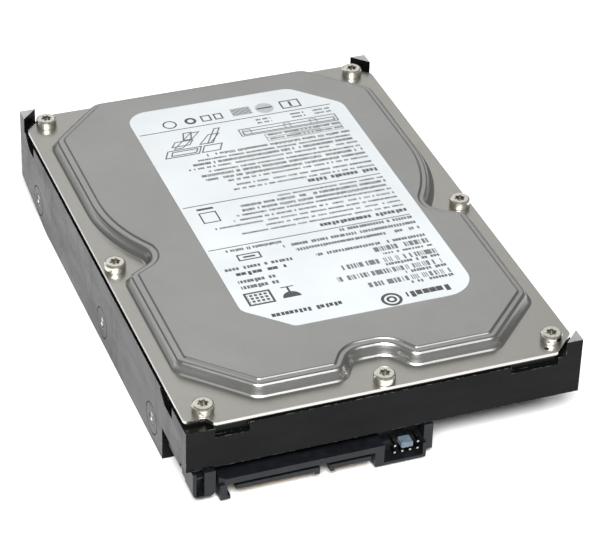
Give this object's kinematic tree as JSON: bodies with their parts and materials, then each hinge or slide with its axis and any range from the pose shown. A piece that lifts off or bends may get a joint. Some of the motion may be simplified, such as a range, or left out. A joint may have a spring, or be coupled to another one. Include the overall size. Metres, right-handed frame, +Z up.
{
  "type": "hard disk drive",
  "caption": "3.5 inch hard disk drive: black cast housing, pressed steel lid with a raised bead and a printed label, serial connectors; discs, heads and circuit board inside.",
  "frame": {"origin": "middle of the outer box, on the plane that the side rails stand on", "axes": "+Z up through the lid, -Y towards the connectors, +X to the right seen from the connector end"},
  "size_m": [0.1016, 0.147, 0.0261],
  "materials": {
    "actuator_arm": "machined aluminium",
    "base_casting": "black satin electro-coat on cast aluminium",
    "board_screws": "bright nickel-plated steel",
    "cache_chip": "black epoxy package",
    "circuit_board": "green solder mask",
    "clamp_screws": "bright nickel-plated steel",
    "coil_filler": "moulded resin",
    "connector_shell": "black moulded plastic",
    "controller_chip": "black epoxy package",
    "cover_gasket": "black moulded gasket",
    "cover_screws": "bright nickel-plated steel",
    "crash_stops": "rubber sleeve on a steel post",
    "desiccant_pack": "white filter cloth",
    "disc_clamp": "machined aluminium",
    "flex_bracket": "formed steel",
    "flex_cable": "amber polyimide film",
    "head_contacts": "black moulded plastic",
    "head_slider_1": "dark sintered ceramic",
    "head_slider_2": "dark sintered ceramic",
    "head_slider_3": "dark sintered ceramic",
    "head_slider_4": "dark sintered ceramic",
    "head_suspension_1": "thin spring steel",
    "head_suspension_2": "thin spring steel",
    "head_suspension_3": "thin spring steel",
    "head_suspension_4": "thin spring steel",
    "insulator_foam": "dark closed-cell foam",
    "jumper_cap": "translucent pale blue plastic",
    "jumper_pins": "gold-plated contact",
    "latch_lever": "moulded plastic",
    "latch_post": "ground steel",
    "lower_platter": "polished magnetic disc on aluminium",
    "motor_contacts": "gold-plated contact",
    "motor_driver_chip": "black epoxy package",
    "pivot_bearings": "ground steel",
    "pivot_shaft": "ground steel",
    "pivot_sleeve": "ground steel",
    "platter_spacer": "machined aluminium",
    "preamp_chip": "black epoxy package",
    "recirculation_filter": "white filter cloth",
    "rotor_magnet": "black bonded magnet ring",
    "sata_contacts": "gold-plated contact",
    "small_components": "black epoxy package",
    "spindle_hub": "machined aluminium",
    "spindle_shaft": "ground steel",
    "spindle_sleeve": "ground steel",
    "stator_coils": "enamelled copper winding",
    "stator_core": "laminated steel",
    "top_cover": "satin pressed stainless sheet",
    "top_label": "white printed self-adhesive label",
    "upper_platter": "polished magnetic disc on aluminium",
    "vcm_lower_magnet": "nickel-plated magnet",
    "vcm_lower_plate": "nickel-plated steel plate",
    "vcm_screws": "bright nickel-plated steel",
    "vcm_standoffs": "ground steel",
    "vcm_upper_magnet": "nickel-plated magnet",
    "vcm_upper_plate": "nickel-plated steel plate",
    "voice_coil": "enamelled copper winding"
  },
  "bodies": {
    "housing": {"base_casting": "base_casting", "board_screws": "board_screws", "cache_chip": "cache_chip", "circuit_board": "circuit_board", "connector_shell": "connector_shell", "controller_chip": "controller_chip", "cover_gasket": "cover_gasket", "cover_screws": "cover_screws", "crash_stops": "crash_stops", "desiccant_pack": "desiccant_pack", "flex_bracket": "flex_bracket", "flex_cable": "flex_cable", "head_contacts": "head_contacts", "insulator_foam": "insulator_foam", "jumper_pins": "jumper_pins", "latch_post": "latch_post", "motor_contacts": "motor_contacts", "motor_driver_chip": "motor_driver_chip", "pivot_bearings": "pivot_bearings", "pivot_shaft": "pivot_shaft", "recirculation_filter": "recirculation_filter", "sata_contacts": "sata_contacts", "small_components": "small_components", "spindle_sleeve": "spindle_sleeve", "stator_coils": "stator_coils", "stator_core": "stator_core", "top_cover": "top_cover", "top_label": "top_label", "vcm_lower_magnet": "vcm_lower_magnet", "vcm_lower_plate": "vcm_lower_plate", "vcm_screws": "vcm_screws", "vcm_standoffs": "vcm_standoffs", "vcm_upper_magnet": "vcm_upper_magnet", "vcm_upper_plate": "vcm_upper_plate"},
    "disc_pack": {"spindle_hub": "spindle_hub", "spindle_shaft": "spindle_shaft", "rotor_magnet": "rotor_magnet", "lower_platter": "lower_platter", "upper_platter": "upper_platter", "platter_spacer": "platter_spacer", "disc_clamp": "disc_clamp", "clamp_screws": "clamp_screws"},
    "head_actuator": {"actuator_arm": "actuator_arm", "voice_coil": "voice_coil", "coil_filler": "coil_filler", "pivot_sleeve": "pivot_sleeve", "preamp_chip": "preamp_chip", "head_suspension_1": "head_suspension_1", "head_suspension_2": "head_suspension_2", "head_suspension_3": "head_suspension_3", "head_suspension_4": "head_suspension_4", "head_slider_1": "head_slider_1", "head_slider_2": "head_slider_2", "head_slider_3": "head_slider_3", "head_slider_4": "head_slider_4"},
    "latch": {"latch_lever": "latch_lever"},
    "jumper": {"jumper_cap": "jumper_cap"}
  },
  "joints": [
    {"name": "spindle_spin", "type": "hinge", "parent": "housing", "child": "disc_pack", "pos_m": [0, 0.02269, 0.014], "axis": [0, 0, 1], "continuous": true},
    {"name": "actuator_swing", "type": "hinge", "parent": "housing", "child": "head_actuator", "pos_m": [0.022, -0.02989, 0.015], "axis": [0, 0, -1], "range_deg": [0, 31.89]},
    {"name": "latch_swing", "type": "hinge", "parent": "housing", "child": "latch", "pos_m": [0.00227, -0.05508, 0.015], "axis": [0, 0, -1], "range_deg": [0, 12]},
    {"name": "jumper_pull", "type": "slide", "parent": "housing", "child": "jumper", "axis": [0, -1, 0], "range_m": [0, 0.006]}
  ]
}
